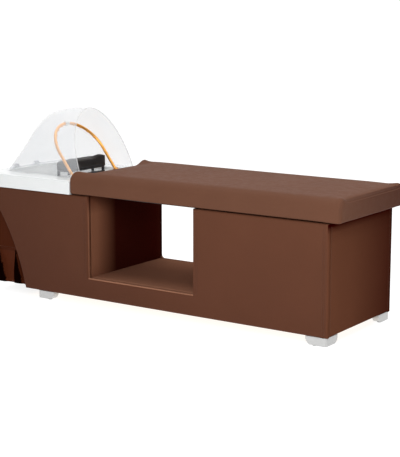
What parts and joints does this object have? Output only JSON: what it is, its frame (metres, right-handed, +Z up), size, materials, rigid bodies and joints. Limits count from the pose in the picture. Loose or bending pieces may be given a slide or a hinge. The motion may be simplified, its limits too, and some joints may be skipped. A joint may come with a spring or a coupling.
{
  "type": "shampoo backwash unit",
  "caption": "Upholstered lie-down hair wash bed with a through opening, white basin, curved water ring, saddle neck rest, clear tilting hood, corner feet and a pleated skirt.",
  "frame": {"origin": "on the floor, under the middle of the unit's length and width", "axes": "+X along the bed from the basin to the foot end, +Y to the back long side, +Z up"},
  "size_m": [2.1, 0.642, 0.9535],
  "materials": {
    "leatherette": "satin embossed leatherette",
    "leatherette_inside": "satin embossed leatherette",
    "pad_leatherette": "satin embossed leatherette",
    "curtain_leatherette": "soft pleated leatherette",
    "plywood": "raw birch plywood",
    "frame_steel": "black powder coat",
    "foot_grey": "light grey satin",
    "rubber_grey": "matt",
    "rubber_black": "matt",
    "zinc": "zinc plated",
    "basin_white": "glossy white",
    "chrome": "polished",
    "brass": "machined",
    "white_plastic": "satin white",
    "braided_steel": "braided",
    "copper": "polished copper-coloured",
    "rest_black": "soft satin black",
    "rest_frame": "satin dark grey",
    "hood_clear": "clear acrylic",
    "trim_white": "white edge trim"
  },
  "bodies": {
    "base": {"side_panel_front": "leatherette", "side_panel_back": "leatherette", "foot_end_panel": "leatherette", "opening_wall_foot": "leatherette_inside", "opening_wall_head": "leatherette_inside", "opening_floor": "leatherette_inside", "bottom_board": "plywood", "span_rail_front": "frame_steel", "span_rail_back": "frame_steel", "head_rail": "plywood", "pad_board": "plywood", "pad_cushion": "pad_leatherette", "corner_foot_foot_front": "foot_grey", "corner_foot_foot_back": "foot_grey", "corner_foot_head_front": "foot_grey", "corner_foot_head_back": "foot_grey", "foot_glides": "rubber_grey", "foot_screws": "zinc", "basin": "basin_white", "apron_front": "leatherette", "apron_back": "leatherette", "apron_head": "leatherette", "curtain_front": "curtain_leatherette", "curtain_back": "curtain_leatherette", "curtain_head": "curtain_leatherette", "drain_flange": "chrome", "drain_gasket": "rubber_black", "drain_nut": "white_plastic", "tailpiece": "chrome", "trap_body": "white_plastic", "trap_collar": "white_plastic", "waste_pipe": "white_plastic", "ring_pedestal_front": "basin_white", "ring_pedestal_back": "basin_white", "ring_feed_tube": "white_plastic", "mixer_body": "chrome", "mixer_nut": "brass", "supply_tube_hot": "braided_steel", "supply_tube_cold": "braided_steel", "hinge_base_front": "chrome", "hinge_base_back": "chrome", "hinge_pins": "zinc", "hood_bumpers": "rubber_grey"},
    "hood": {"hood_shell": "hood_clear", "hood_flange": "hood_clear", "hood_edge_trim": "trim_white", "hinge_knuckle_front": "chrome", "hinge_knuckle_back": "chrome"},
    "water_ring": {"ring_tube": "copper", "ring_elbow_front": "copper", "ring_elbow_back": "copper", "crown_fitting": "white_plastic", "spray_nozzles": "copper"},
    "neck_rest": {"neck_rest_pad": "rest_black", "neck_rest_frame": "rest_frame", "neck_rest_feet": "rubber_black"},
    "strainer": {"strainer": "chrome"},
    "mixer_cap": {"mixer_cap": "chrome"},
    "mixer_lever": {"mixer_lever": "chrome"}
  },
  "joints": [
    {"name": "hood_tilt", "type": "hinge", "parent": "base", "child": "hood", "pos_m": [-1.028, 0, 0.633], "axis": [0, -1, 0], "range_deg": [0, 80]},
    {"name": "ring_swing", "type": "hinge", "parent": "base", "child": "water_ring", "pos_m": [-0.556, 0, 0.616], "axis": [0, -1, 0], "range_deg": [-8, 25]},
    {"name": "neck_rest_lift", "type": "slide", "parent": "base", "child": "neck_rest", "axis": [0, 0, 1], "range_m": [0, 0.06]},
    {"name": "strainer_lift", "type": "slide", "parent": "base", "child": "strainer", "axis": [0, 0, 1], "range_m": [0, 0.05]},
    {"name": "mixer_swivel", "type": "hinge", "parent": "base", "child": "mixer_cap", "pos_m": [-1.02, -0.268, 0.67], "axis": [0, 0, 1], "range_deg": [-45, 45]},
    {"name": "mixer_lift", "type": "hinge", "parent": "mixer_cap", "child": "mixer_lever", "pos_m": [-1.02, -0.268, 0.687], "axis": [0, -1, 0], "range_deg": [0, 25]}
  ]
}
